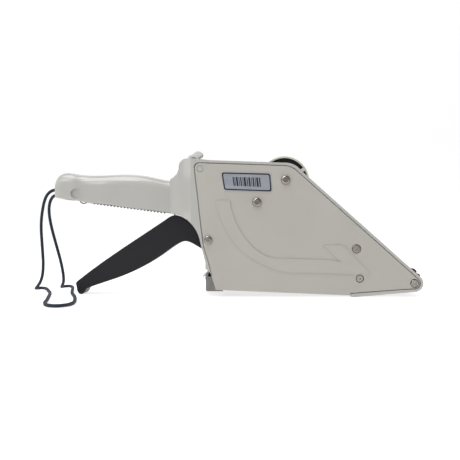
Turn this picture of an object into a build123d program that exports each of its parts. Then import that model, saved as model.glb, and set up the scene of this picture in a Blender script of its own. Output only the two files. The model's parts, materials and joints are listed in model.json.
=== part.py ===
"""Hand-held label applicator: squeeze lever, open-topped body, geared liner feed and a wrist cord.

The origin is on the table under the middle of the body, +X points to the nose and +Z is up.
The near side is -Y. Every length is in millimetres.
"""
import os
from math import atan2, cos, degrees, pi, radians, sin, sqrt, tan

from build123d import *

os.makedirs("parts", exist_ok=True)

# Driving dimensions -------------------------------------------------------------------------
# Body widths, measured from the middle plane
half_width = 40.0          # outer face of a side cover
cover_thickness = 2.0
gear_space = 5.0           # between a side cover and the inner wall
inner_wall = 2.0
web_half_width = half_width - cover_thickness - gear_space - inner_wall
cover_seat = half_width - cover_thickness
wall_face = cover_seat - gear_space

# Side outline of the body
nose_x, nose_z, nose_radius = 155.7, 12.0, 7.4
slant_angle = 41.7
rim_width = 2.2            # shell edge that shows round a side cover
cover_gap = 0.8
ledge_width = 2.6
top_right_z = 116.1
rim_heel_x = 103.1         # rear end of the bottom rim, where the body rests
cover_heel_x = 100.8
heel_front_z = 1.45
heel_rear_x, heel_rear_z = -16.5, 6.3

# Handle
handle_half_width = 15.0
handle_wall = 2.8
neck_wall = 3.0
handle_rear_x = -163.1
neck_x = -58.0
handle_edge_slope = 7.5
handle_edge_x, handle_edge_z = -56.3, 73.2

# Cross shafts: (x, z) of each axis
hub_x, hub_z = 43.9, 101.3
post_x, post_z = 19.1, 82.0   # cover screw on a post in each gear space
guide_x, guide_z = -12.0, 70.0
pivot_x, pivot_z = -23.0, 49.5
spacer_x, spacer_z = 105.3, 41.8
platen_x, platen_z = 108.2, 16.0
gate_x, gate_z = 9.0, 9.6
guide_shaft_radius = 3.0
running_fit = 0.05         # radial clearance of a shaft that turns

# Gear pair
gear_module = 1.0
pressure_angle = 25.0
stub_addendum = 0.8
stub_dedendum = 1.05
sector_teeth = 54
pinion_teeth = 12
tooth_backlash = 0.24
gear_thickness = 3.0
gear_face_y = -37.3        # outer face of the sector
gear_distance = gear_module * (sector_teeth + pinion_teeth) / 2
gear_angle = -47.0         # direction from the lever's pivot to the feed shaft
feed_x = pivot_x + gear_distance * cos(radians(gear_angle))
feed_z = pivot_z + gear_distance * sin(radians(gear_angle))

# Lever
lever_half_width = 11.0
lever_shaft_radius = 3.0
gear_hub_radius = 4.8

# Return spring
spring_wire = 1.0
spring_radius = 3.7
spring_pitch = 3.1
spring_turns = 22
spring_rear_x = -130.0

# Feed-stop knob and its rod
knob_x, knob_z = -37.5, 123.2
knob_half_width = 6.0
knob_pin_radius = 1.2
stop_rod_x, stop_rod_radius = -33.0, 1.5

# Screws
screw_shank = 2.0
screw_tap = 2.05
slot_width = 1.0


def side_plane(y):
    """Vertical plane at y that shows the object from its near side, with its normal along -Y."""
    return Plane.XZ.offset(-y)


def on_slope(x, above=0.0):
    """Height of the handle's lower edge line at x, plus a distance above it."""
    return handle_edge_z - (x - handle_edge_x) * tan(radians(handle_edge_slope)) + above


def write_piece(builder, name):
    """Label a finished piece and write its STEP file."""
    builder.part.label = name
    export_step(builder.part, "parts/" + name + ".step")


def heel_z(x):
    """Height of the rear part of the body's lower edge at x."""
    slope = (heel_front_z - heel_rear_z) / (cover_heel_x - heel_rear_x)
    return heel_rear_z + slope * (x - heel_rear_x)


def slant_z(x, offset_in=0.0):
    """Height of the slanted top edge at x, moved in by offset_in at right angles."""
    angle = radians(slant_angle)
    reach = nose_radius - offset_in
    x0 = nose_x + reach * sin(angle)
    z0 = nose_z + reach * cos(angle)
    return z0 - (x - x0) * tan(angle)


def slant_x(z, offset_in=0.0):
    """Distance along X of the slanted top edge at height z."""
    angle = radians(slant_angle)
    reach = nose_radius - offset_in
    x0 = nose_x + reach * sin(angle)
    z0 = nose_z + reach * cos(angle)
    return x0 - (z - z0) / tan(angle)


# Moulded frame: two halves that meet on the middle plane ------------------------------------
def body_line():
    """Closed side outline of the body, neck and head, drawn in the active BuildLine."""
    bottom_turn = radians(4.66)
    nose_top_point = (nose_x + nose_radius * sin(radians(slant_angle)),
                      nose_z + nose_radius * cos(radians(slant_angle)))
    nose_front_point = (nose_x + nose_radius * cos(radians(18)),
                        nose_z - nose_radius * sin(radians(18)))
    nose_low_point = (nose_x + nose_radius * sin(bottom_turn),
                      nose_z - nose_radius * cos(bottom_turn))
    slant = Line((slant_x(109.5), 109.5), nose_top_point)
    nose = ThreePointArc(nose_top_point, nose_front_point, nose_low_point)
    rim = Polyline(nose_low_point, (rim_heel_x, 0.0), (cover_heel_x + 0.5, 0.0),
                   (cover_heel_x + 0.5, heel_z(cover_heel_x + 0.5)),
                   (heel_rear_x, heel_rear_z), (-21.4, 21.7), (-25.4, 24.4), (-25.4, 30.2))
    rear = Line((-25.4, 30.2), (-29.8, 47.0))
    cheek = ThreePointArc((-29.8, 47.0), (-38.0, 63.8), (-50.5, 71.6))
    neck = Polyline((-50.5, 71.6), (neck_x, on_slope(neck_x)), (neck_x, 103.6),
                    (-55.3, 105.2), (-51.7, 108.2), (-49.9, 112.9))
    head = ThreePointArc((-49.9, 112.9), (-48.4, 118.8), (-44.4, 121.0))
    top = Polyline((-44.4, 121.0), (-21.0, 118.5), (46.0, top_right_z + 0.1))
    corner = ThreePointArc((46.0, top_right_z + 0.1), (52.0, 114.2), (slant_x(109.5), 109.5))


def funnel_line(inset):
    """Plan outline that widens from the handle to the body, moved in by inset."""
    narrow = handle_half_width - inset
    wide = half_width - inset
    start_x = neck_x - 1.0
    end_x = -38.0 + inset
    near = Spline((start_x, -narrow), (end_x, -wide), tangents=((1, -0.25), (0.55, -1)))
    far = Spline((start_x, narrow), (end_x, wide), tangents=((1, 0.25), (0.55, 1)))
    front = Polyline((end_x, -wide), (-36.0 + inset, -wide), (170, -wide), (170, wide),
                     (-36.0 + inset, wide), (end_x, wide))
    rear = Line((start_x, narrow), (start_x, -narrow))


def cover_line(inset=0.0):
    """Closed side outline of the gap that parts a side cover from the shell, moved in by inset."""
    reach = nose_radius - rim_width - inset
    slant_inset = rim_width + inset
    turn = radians(slant_angle)
    nose_top_point = (nose_x + reach * sin(turn), nose_z + reach * cos(turn))
    nose_front_point = (nose_x + reach * cos(radians(18)), nose_z - reach * sin(radians(18)))
    nose_low_point = (nose_x + reach * sin(radians(4.66)), nose_z - reach * cos(radians(4.66)))
    slant = Line((slant_x(109.0, slant_inset), 109.0), nose_top_point)
    nose = ThreePointArc(nose_top_point, nose_front_point, nose_low_point)
    front_step = (cover_heel_x - inset, 2.9 + inset)
    low = Polyline(nose_low_point, (144.7, 6.2 + inset), front_step)
    rear = Polyline(front_step, (cover_heel_x - inset, -4.0), (-16.0 + inset, -4.0),
                    (-16.5 + inset, 6.3), (-19.9 + inset, 16.1), (-21.0 + inset, 21.7),
                    (-22.8 + inset, 28.6), (-27.4 + inset, 43.9), (-29.8 + inset, 62.4),
                    (-35.4 + inset, 111.4))
    corner = ThreePointArc((-35.4 + inset, 111.4), (-34.2 + inset, 115.4 - inset),
                           (-30.9, 116.7 - inset))
    top = Line((-30.9, 116.7 - inset), (44.0, 114.2 - inset))
    bend = ThreePointArc((44.0, 114.2 - inset), (49.6 - inset / 2, 112.7 - inset),
                         (slant_x(109.0, slant_inset), 109.0))


with BuildSketch(Plane.XZ) as cover_gap_outline:
    with BuildLine():
        cover_line()
    make_face()

with BuildSketch(Plane.XZ) as pocket_outline:
    slant_inset = rim_width + ledge_width
    with BuildLine():
        Polyline((-32.6, 110.5), (-31.0, 114.0), (43.5, 111.5),
                 (slant_x(107.0, slant_inset), 107.0), (147.0, slant_z(147.0, slant_inset)),
                 (147.0, 9.4), (103.5, 5.8), (98.0, heel_z(98.0) + ledge_width),
                 (-13.6, heel_z(-13.6) + ledge_width), (-17.2, 17.0), (-18.3, 22.3),
                 (-20.1, 29.2), (-24.7, 44.5), (-27.1, 62.7), close=True)
    make_face()

with BuildPart() as head_hollow:
    with BuildSketch(Plane.XZ):
        with BuildLine():
            Polyline((neck_x - 2.0, 60.0), (neck_x - 2.0, 100.6), (-54.0, 102.4),
                     (-49.0, 106.4), (-46.6, 113.0), (-44.6, 117.4), (-30.0, 116.2),
                     (-30.0, 130.0), (175.0, 130.0), (175.0, -10.0), (-40.0, -10.0),
                     close=True)
        make_face()
    extrude(amount=web_half_width, both=True)
    with BuildSketch(Plane.XY):
        with BuildLine():
            funnel_line(neck_wall)
        make_face()
    extrude(amount=140, both=True, mode=Mode.INTERSECT)

with BuildPart() as frame_blank:
    with BuildSketch(Plane.XZ):
        with BuildLine():
            body_line()
        make_face()
    extrude(amount=half_width, both=True)
    with BuildSketch(Plane.XY):
        with BuildLine():
            funnel_line(0.0)
        make_face()
    extrude(amount=140, mode=Mode.INTERSECT)

# Handle stations: x, half width, lower edge, top and the rounding of the top corners
handle_stations = [
    (handle_rear_x, 9.5, 89.6, 98.0, 3.0),
    (-162.3, 12.0, 87.9, 101.9, 5.0),
    (-160.6, 13.8, 87.2, 105.6, 7.0),
    (-157.6, 14.7, 86.5, 108.5, 8.5),
    (-152.3, handle_half_width, on_slope(-152.3), 110.0, 9.0),
    (-141.4, handle_half_width, on_slope(-141.4), 108.7, 9.5),
    (-123.1, handle_half_width, on_slope(-123.1), 107.8, 10.0),
    (-98.0, handle_half_width, on_slope(-98.0), 108.7, 10.0),
    (-77.3, handle_half_width, on_slope(-77.3), 107.0, 10.0),
    (-63.0, handle_half_width, on_slope(-63.0), 104.0, 10.0),
    (neck_x + 6.0, handle_half_width, on_slope(neck_x + 6.0), 103.6, 10.0),
]
handle_edge_round = 1.5


def handle_section(width, low, high, rounding):
    """Closed outline of the handle across its length, with a rounded top."""
    edge = handle_edge_round
    Line((-width + edge, low), (width - edge, low))
    RadiusArc((width - edge, low), (width, low + edge), -edge)
    Line((width, low + edge), (width, high - rounding))
    RadiusArc((width, high - rounding), (width - rounding, high), -rounding)
    Line((width - rounding, high), (-width + rounding, high))
    RadiusArc((-width + rounding, high), (-width, high - rounding), -rounding)
    Line((-width, high - rounding), (-width, low + edge))
    RadiusArc((-width, low + edge), (-width + edge, low), -edge)


with BuildPart() as handle_blank:
    for x, width, low, high, rounding in handle_stations:
        with BuildSketch(Plane.YZ.offset(x)):
            with BuildLine():
                handle_section(width, low, high, rounding)
            make_face()
    loft()

with BuildPart() as handle_hollow:
    with BuildSketch(Plane.XZ):
        with BuildLine():
            Polyline((-158.6, 60.0), (-158.6, 99.0), (-156.2, 103.8), (-151.0, 106.6),
                     (-141.0, 105.4), (-123.0, 104.6), (-98.0, 105.5), (-77.0, 103.8),
                     (-63.0, 100.8), (neck_x + 3.0, 100.4), (neck_x + 3.0, 60.0), close=True)
        make_face()
    extrude(amount=handle_half_width - handle_wall, both=True)
    roof_edges = handle_hollow.edges().filter_by_position(Axis.Z, 97.0, 112.0).filter_by(
        lambda edge: abs(abs(edge.center().Y) - handle_half_width + handle_wall) < 0.1
        and -150.0 < edge.center().X < neck_x)
    fillet(roof_edges, radius=5.0)


def cross_cylinder(x, z, radius, low_y, high_y, mode=Mode.ADD):
    """Round bar or hole along Y at (x, z), from low_y to high_y, in the active BuildPart."""
    with Locations((x, (low_y + high_y) / 2, z)):
        Cylinder(radius, high_y - low_y, rotation=(90, 0, 0), mode=mode)


# Radius of the inner walls' hole for each cross shaft
wall_holes = {
    "hub": (hub_x, hub_z, 4.0 + running_fit),
    "guide": (guide_x, guide_z, guide_shaft_radius + running_fit),
    "pivot": (pivot_x, pivot_z, lever_shaft_radius + running_fit),
    "spacer": (spacer_x, spacer_z, 4.0 + running_fit),
    "platen": (platen_x, platen_z, 4.5),
    "feed": (feed_x, feed_z, 6.0),
    "nose": (nose_x, nose_z, 2.5 + running_fit),
    "gate": (gate_x, gate_z, 1.5 + running_fit),
}


handle_screw_x, handle_screw_z = -143.0, 91.0
handle_boss_radius = 3.2
handle_boss_reach = 4.0
screw_recess_radius = 4.5
screw_recess_depth = 2.0
dimple_depth = 1.3
screw_reach = -9.0         # where the handle screw ends in the near boss
cord_hole_radius = 1.65
cord_upper_z = 95.6
cord_lower_z = 90.9

with BuildPart() as frame_whole:
    add(frame_blank.part)
    add(handle_blank.part)
    add(head_hollow.part, mode=Mode.SUBTRACT)
    add(handle_hollow.part, mode=Mode.SUBTRACT)
    for side in (-1, 1):
        with BuildSketch(side_plane(side * half_width)):
            add(cover_gap_outline.sketch)
        extrude(amount=side * cover_thickness, mode=Mode.SUBTRACT)
        with BuildSketch(side_plane(side * cover_seat)):
            add(pocket_outline.sketch)
            with Locations((pivot_x, pivot_z)):
                Circle(gear_hub_radius + 0.3)
        extrude(amount=side * gear_space, mode=Mode.SUBTRACT)
        boss_ends = sorted((side * handle_boss_reach, side * (handle_half_width - 1.0)))
        cross_cylinder(handle_screw_x, handle_screw_z, handle_boss_radius, *boss_ends)
        with Locations((knob_x, side * (knob_half_width + 1.2), knob_z - 2.2)):
            Box(5.0, 1.8, 7.0)
    for x, z, radius in wall_holes.values():
        cross_cylinder(x, z, radius, -cover_seat - 0.5, cover_seat + 0.5, Mode.SUBTRACT)
    cross_cylinder(knob_x, knob_z, knob_pin_radius, -9, 9, Mode.SUBTRACT)
    with Locations((stop_rod_x, 0, 118)):
        Cylinder(stop_rod_radius + running_fit, 14, mode=Mode.SUBTRACT)
    cross_cylinder(handle_screw_x, handle_screw_z, 1.8, screw_reach - 1.0,
                   handle_half_width + 1.0, Mode.SUBTRACT)
    cross_cylinder(handle_screw_x, handle_screw_z, screw_recess_radius,
                   handle_half_width - screw_recess_depth, handle_half_width + 1.0, Mode.SUBTRACT)
    cross_cylinder(handle_screw_x, handle_screw_z, screw_recess_radius,
                   -handle_half_width - 1.0, dimple_depth - handle_half_width, Mode.SUBTRACT)
    with BuildSketch(Plane.YZ.offset(handle_rear_x - 1.0)):
        with Locations((0, cord_upper_z), (0, cord_lower_z)):
            Circle(cord_hole_radius)
    extrude(amount=8.0, mode=Mode.SUBTRACT)

with BuildPart() as near_shell:
    add(frame_whole.part)
    split(bisect_by=Plane.XZ, keep=Keep.TOP)
write_piece(near_shell, "near_shell")

with BuildPart() as far_shell:
    add(frame_whole.part)
    split(bisect_by=Plane.XZ, keep=Keep.BOTTOM)
write_piece(far_shell, "far_shell")


# Side covers --------------------------------------------------------------------------------
# Holes of both covers: x, z and radius
cover_holes = [
    (hub_x, hub_z, screw_tap + 0.1),
    (post_x, post_z, screw_tap + 0.1),
    (pivot_x, pivot_z, screw_tap + 0.15),
    (spacer_x, spacer_z, screw_tap + 0.1),
    (platen_x, platen_z, 3.5),
    (nose_x, nose_z, screw_tap + 0.1),
]
recess_radius = 4.1
near_recesses = [(spacer_x, spacer_z), (nose_x, nose_z)]
far_recesses = near_recesses + [(hub_x, hub_z), (post_x, post_z), (pivot_x, pivot_z)]
recess_depth = 1.2
relief_height = 0.7


def cover_blank(side, recesses):
    """Plain side cover with its holes and recesses, on side -1 (near) or 1 (far), as a Part."""
    with BuildPart() as cover:
        with BuildSketch(side_plane(side * cover_seat)):
            with BuildLine():
                cover_line(cover_gap)
            make_face()
            with BuildLine():
                Polyline((-40, -10), (cover_heel_x + 1, -10), (cover_heel_x + 1, heel_front_z),
                         (-40, heel_z(-40)), close=True)
            make_face(mode=Mode.SUBTRACT)
        extrude(amount=-side * cover_thickness)
        for x, z, radius in cover_holes:
            ends = sorted((side * (cover_seat - 1), side * (half_width + 1)))
            cross_cylinder(x, z, radius, *ends, Mode.SUBTRACT)
        for x, z in recesses:
            ends = sorted((side * (half_width - recess_depth), side * (half_width + 1)))
            cross_cylinder(x, z, recess_radius, *ends, Mode.SUBTRACT)
    return cover.part


peg_x, peg_z = -30.1, 111.1
peg_radius, peg_stem_radius = 2.5, 1.5
peg_head = 0.9

with BuildPart() as near_cover:
    add(cover_blank(-1, near_recesses))
    cross_cylinder(peg_x, peg_z, peg_radius + 0.35, -half_width - 1, peg_head - half_width,
                   Mode.SUBTRACT)
    cross_cylinder(peg_x, peg_z, peg_stem_radius, -half_width - 1, -cover_seat + 1,
                   Mode.SUBTRACT)
    # Raised arrow that shows the way of the label web
    with BuildSketch(side_plane(-half_width)):
        with BuildLine():
            outer = Spline((-16.2, 79.7), (-11.0, 65.0), (7.1, 39.1), (23.6, 28.7), (39.1, 22.7),
                           (56.4, 21.4))
            shaft = Polyline((56.4, 21.4), (102.5, 19.9), (117.8, 19.2), (95.3, 43.4),
                             (92.7, 45.2), (76.3, 44.7), (91.8, 30.5), (82.3, 32.2),
                             (43.4, 33.5))
            inner = Spline((43.4, 33.5), (23.6, 37.4), (9.0, 51.0), (-0.6, 68.5), (-4.1, 82.3))
            tail = Polyline((-4.1, 82.3), (-4.1, 83.6), (-16.2, 83.6), (-16.2, 79.7))
        make_face()
        with Locations((platen_x, platen_z), (spacer_x, spacer_z)):
            Circle(5.0, mode=Mode.SUBTRACT)
    extrude(amount=relief_height)
write_piece(near_cover, "near_cover")

with BuildPart() as far_cover:
    add(cover_blank(1, far_recesses))
write_piece(far_cover, "far_cover")

with BuildPart() as cover_peg:
    cross_cylinder(peg_x, peg_z, peg_radius, -half_width, peg_head - half_width)
    cross_cylinder(peg_x, peg_z, peg_stem_radius, peg_head - half_width, -cover_seat)
write_piece(cover_peg, "cover_peg")

# Name plate: a slightly raised border round a flat field, without any text
with BuildPart() as name_plate:
    with BuildSketch(side_plane(-half_width)):
        with BuildLine():
            Polyline((-11.8, 108.1), (30.8, 107.0), (32.1, 91.1), (-9.3, 92.5), close=True)
        make_face()
    extrude(amount=0.6)
    fillet(name_plate.edges().filter_by(Axis.Y), radius=2.0)
write_piece(name_plate, "name_plate")


# Screws and cross shafts --------------------------------------------------------------------
def add_pan_screw(x, z, side, seat, head_radius, head_height, length, shank=screw_shank):
    """Pan-head screw with a cross recess, its head outside seat on side -1 or 1."""
    head = sorted((side * seat, side * (seat + head_height)))
    cross_cylinder(x, z, head_radius, *head)
    crown = edges(Select.LAST).sort_by(Axis.Y)[0 if side < 0 else -1]
    fillet(crown, radius=head_height * 0.75)
    shaft = sorted((side * (seat - length), side * seat))
    cross_cylinder(x, z, shank, *shaft)
    recess_y = side * (seat + head_height)
    with Locations((x, recess_y, z)):
        Box(head_radius * 1.1, head_height * 1.3, slot_width, rotation=(0, 45, 0),
            mode=Mode.SUBTRACT)
        Box(slot_width, head_height * 1.3, head_radius * 1.1, rotation=(0, 45, 0),
            mode=Mode.SUBTRACT)


def screw_pair(name, x, z, near_head, far_head, length, shank=screw_shank):
    """Write one node with a near and a far screw; a head is its seat, radius and height."""
    with BuildPart() as screws:
        for side, head in ((-1, near_head), (1, far_head)):
            add_pan_screw(x, z, side, *head, length, shank)
    write_piece(screws, name)


def tapped_shaft(name, x, z, radius, half_length, tap=screw_tap):
    """Write a round shaft across the body with a tapped hole in each end."""
    with BuildPart() as shaft:
        cross_cylinder(x, z, radius, -half_length, half_length)
        for side in (-1, 1):
            ends = sorted((side * (half_length - 9.0), side * (half_length + 1.0)))
            cross_cylinder(x, z, tap, *ends, Mode.SUBTRACT)
    write_piece(shaft, name)


def tube(name, x, z, outer, inner, low_y, high_y):
    """Write a plain round tube along Y."""
    with BuildPart() as sleeve:
        cross_cylinder(x, z, outer, low_y, high_y)
        cross_cylinder(x, z, inner, low_y - 1, high_y + 1, Mode.SUBTRACT)
    write_piece(sleeve, name)


shaft_radius = 4.0
recess_seat = half_width - recess_depth
proud_head = (half_width, 4.0, 2.4)
sunk_head = (recess_seat, 3.6, 1.2)
small_head = (recess_seat, 3.4, 1.2)
tapped_shaft("hub_shaft", hub_x, hub_z, shaft_radius, cover_seat)
tapped_shaft("frame_spacer", spacer_x, spacer_z, shaft_radius, cover_seat)
tapped_shaft("nose_shaft", nose_x, nose_z, 2.5, cover_seat, 1.55)
screw_pair("hub_screws", hub_x, hub_z, proud_head, sunk_head, 8.0)
screw_pair("cover_screws", post_x, post_z, proud_head, sunk_head, 5.0)
screw_pair("spacer_screws", spacer_x, spacer_z, sunk_head, sunk_head, 8.0)
screw_pair("nose_screws", nose_x, nose_z, small_head, small_head, 8.0, 1.5)

# Label hub: a drum that holds the core, between two spoked end caps
drum_radius = 18.8
drum_half_length = 24.0
cap_radius = 21.6
cap_rim = 1.4
cap_thickness = 5.0
spoke_count, spoke_start = 3, 31.0
spoke_width = 3.0
disc_thickness = 1.0       # dark disc inside the rim of each cap
bore_radius = shaft_radius + running_fit

with BuildPart() as hub_drum:
    cross_cylinder(hub_x, hub_z, drum_radius, -drum_half_length, drum_half_length)
    for side in (-1, 1):
        ends = sorted((side * 2.0, side * (drum_half_length + 1.0)))
        cross_cylinder(hub_x, hub_z, drum_radius - 2.4, *ends, Mode.SUBTRACT)
        with BuildSketch(side_plane(side * drum_half_length)):
            with Locations((hub_x, hub_z)):
                Circle(cap_radius - cap_rim)
                Circle(12.0, mode=Mode.SUBTRACT)
        extrude(amount=-side * disc_thickness)
    cross_cylinder(hub_x, hub_z, 7.0, -drum_half_length, drum_half_length)
    cross_cylinder(hub_x, hub_z, bore_radius, -40, 40, Mode.SUBTRACT)
write_piece(hub_drum, "hub_drum")


def hub_cap(name, side):
    """Write a spoked end cap of the label hub on side -1 or 1."""
    inner_y = side * drum_half_length
    with BuildPart() as cap:
        with BuildSketch(side_plane(inner_y)):
            with Locations((hub_x, hub_z)):
                Circle(cap_radius)
                Circle(cap_radius - cap_rim, mode=Mode.SUBTRACT)
        extrude(amount=-side * cap_thickness)
        with BuildSketch(side_plane(inner_y + side * disc_thickness)):
            with Locations((hub_x, hub_z)):
                Circle(8.0)
                with PolarLocations(14.2, spoke_count, start_angle=spoke_start):
                    Rectangle(13.6, spoke_width)
                Circle(bore_radius, mode=Mode.SUBTRACT)
        extrude(amount=-side * (cap_thickness - disc_thickness))
    write_piece(cap, name)


hub_cap("hub_cap_near", -1)
hub_cap("hub_cap_far", 1)
tube("hub_brake_felt", hub_x, hub_z, 9.0, bore_radius, 29.3, 30.1)
with BuildPart() as hub_brake_spring:
    cross_cylinder(hub_x, hub_z, 8.0, 30.1, 30.4)
    cross_cylinder(hub_x, hub_z, 6.5, 30.4, 30.7)
    cross_cylinder(hub_x, hub_z, 5.5, 30.7, 31.0)
    cross_cylinder(hub_x, hub_z, bore_radius, 29, 32, Mode.SUBTRACT)
write_piece(hub_brake_spring, "hub_brake_spring")

# Web guide roller, platen roller and press rollers
roller_half_length = 29.0
with BuildPart() as guide_shaft:
    cross_cylinder(guide_x, guide_z, guide_shaft_radius, -wall_face - 0.5, wall_face + 0.5)
write_piece(guide_shaft, "guide_shaft")
tube("guide_roller", guide_x, guide_z, 5.0, guide_shaft_radius + running_fit,
     -roller_half_length, roller_half_length)

# Posts between the inner walls and the covers, for the cover screws
with BuildPart() as cover_posts:
    for side in (-1, 1):
        ends = sorted((side * wall_face, side * cover_seat))
        cross_cylinder(post_x, post_z, 4.0, *ends)
        cross_cylinder(post_x, post_z, screw_tap, *ends, Mode.SUBTRACT)
write_piece(cover_posts, "cover_posts")

platen_shaft_radius = 2.85
with BuildPart() as platen_shaft:
    cross_cylinder(platen_x, platen_z, platen_shaft_radius, -39.4, 39.4)
    for side in (-1, 1):
        ends = sorted((side * 37.8, side * 40.0))
        cross_cylinder(platen_x, platen_z, 0.9, *ends, Mode.SUBTRACT)
write_piece(platen_shaft, "platen_shaft")
tube("platen_roller", platen_x, platen_z, 6.0, platen_shaft_radius,
     -roller_half_length, roller_half_length)


def bushing_pair(name, x, z, outer, inner, flange, flange_thickness):
    """Write one node with a flanged bushing in each inner wall, flanges in the gear spaces."""
    with BuildPart() as bushings:
        for side in (-1, 1):
            body_ends = sorted((side * web_half_width, side * wall_face))
            flange_ends = sorted((side * wall_face, side * (wall_face + flange_thickness)))
            bore_ends = sorted((side * (web_half_width - 1), side * (wall_face + 4)))
            cross_cylinder(x, z, outer, *body_ends)
            cross_cylinder(x, z, flange, *flange_ends)
            cross_cylinder(x, z, inner, *bore_ends, Mode.SUBTRACT)
    write_piece(bushings, name)


bushing_pair("platen_bushings", platen_x, platen_z, 4.5, platen_shaft_radius + running_fit,
             6.0, 1.0)

with BuildPart() as press_rollers:
    for y in (-24.0, -12.0, 0.0, 12.0, 24.0):
        cross_cylinder(nose_x, nose_z, 6.6, y - 4.0, y + 4.0)
    cross_cylinder(nose_x, nose_z, 4.2, -28.0, 28.0)
    cross_cylinder(nose_x, nose_z, 2.5 + running_fit, -30, 30, Mode.SUBTRACT)
write_piece(press_rollers, "press_rollers")


# Gears --------------------------------------------------------------------------------------
def half_tooth_angle(teeth, radius):
    """Half the angle, in degrees, that a tooth takes up at a radius of the gear."""
    pitch_radius = gear_module * teeth / 2
    base_radius = pitch_radius * cos(radians(pressure_angle))
    thickness = (pi * gear_module - tooth_backlash) / 2
    start = tan(radians(pressure_angle)) - radians(pressure_angle)
    slope = sqrt(max((radius / base_radius) ** 2 - 1, 0.0))
    involute = slope - atan2(slope, 1)
    return degrees(thickness / (2 * pitch_radius) + start - involute)


def gear_point(centre, radius, angle):
    """Point at a radius and an angle in degrees about a gear's centre."""
    return (centre[0] + radius * cos(radians(angle)), centre[1] + radius * sin(radians(angle)))


def tooth_edge(centre, teeth, middle):
    """Draw one tooth from root to root, counter-clockwise; return its root half angle."""
    pitch_radius = gear_module * teeth / 2
    base_radius = pitch_radius * cos(radians(pressure_angle))
    tip = pitch_radius + stub_addendum * gear_module
    root = pitch_radius - stub_dedendum * gear_module
    start = max(base_radius, root)
    levels = [start + (tip - start) * step / 4 for step in range(5)]
    first = [gear_point(centre, r, middle - half_tooth_angle(teeth, r)) for r in levels]
    last = [gear_point(centre, r, middle + half_tooth_angle(teeth, r)) for r in levels]
    foot = half_tooth_angle(teeth, start)
    if root < start:
        Line(gear_point(centre, root, middle - foot), first[0])
    Spline(*first)
    ThreePointArc(first[-1], gear_point(centre, tip, middle), last[-1])
    Spline(*reversed(last))
    if root < start:
        Line(last[0], gear_point(centre, root, middle + foot))
    return foot, root


sector_centre = (pivot_x, pivot_z)
pinion_centre = (feed_x, feed_z)
sector_pitch_angle = 360 / sector_teeth
pinion_pitch_angle = 360 / pinion_teeth
sector_first, sector_last = -1, 5
gear_inner_y = gear_face_y + gear_thickness

with BuildPart() as sector_gear:
    with BuildSketch(side_plane(gear_inner_y)):
        with BuildLine():
            for step in range(sector_first, sector_last + 1):
                middle = gear_angle + step * sector_pitch_angle
                foot, root = tooth_edge(sector_centre, sector_teeth, middle)
                if step < sector_last:
                    ThreePointArc(
                        gear_point(sector_centre, root, middle + foot),
                        gear_point(sector_centre, root, middle + sector_pitch_angle / 2),
                        gear_point(sector_centre, root, middle + sector_pitch_angle - foot))
            low_end = gear_angle + sector_first * sector_pitch_angle - foot
            high_end = gear_angle + sector_last * sector_pitch_angle + foot
            rim_end = gear_point(sector_centre, root, high_end)
            rim_start = gear_point(sector_centre, root, low_end)
            Polyline(rim_end, gear_point(sector_centre, 4.5, high_end + 35),
                     gear_point(sector_centre, 4.5, low_end - 35), rim_start)
        make_face()
        with Locations(sector_centre):
            Circle(gear_hub_radius)
            Circle(lever_shaft_radius, mode=Mode.SUBTRACT)
    extrude(amount=gear_thickness)
write_piece(sector_gear, "sector_gear")

feed_shaft_radius = 3.0
with BuildPart() as drive_pinion:
    with BuildSketch(side_plane(gear_inner_y + 0.2)):
        with BuildLine():
            for step in range(pinion_teeth):
                middle = gear_angle + 180 + (step + 0.5) * pinion_pitch_angle
                foot, root = tooth_edge(pinion_centre, pinion_teeth, middle)
                ThreePointArc(
                    gear_point(pinion_centre, root, middle + foot),
                    gear_point(pinion_centre, root, middle + pinion_pitch_angle / 2),
                    gear_point(pinion_centre, root, middle + pinion_pitch_angle - foot))
        make_face()
        with Locations(pinion_centre):
            Circle(feed_shaft_radius, mode=Mode.SUBTRACT)
    extrude(amount=gear_thickness + 0.4)
write_piece(drive_pinion, "drive_pinion")

# Liner feed: shaft, one-way clutch, rubber roller and bushings
with BuildPart() as feed_shaft:
    cross_cylinder(feed_x, feed_z, feed_shaft_radius, -37.7, 36.0)
write_piece(feed_shaft, "feed_shaft")
tube("one_way_clutch", feed_x, feed_z, 7.5, feed_shaft_radius, -30.2, -26.4)
tube("feed_roller", feed_x, feed_z, 12.0, feed_shaft_radius, -26.0, 26.0)
bushing_pair("feed_bushings", feed_x, feed_z, 6.0, feed_shaft_radius + running_fit, 7.0, 0.8)

# Squeeze lever ------------------------------------------------------------------------------
lever_lug_radius = 10.5
lever_pin_x, lever_pin_z = -55.0, 68.2
groove_half_width = 5.2

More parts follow.
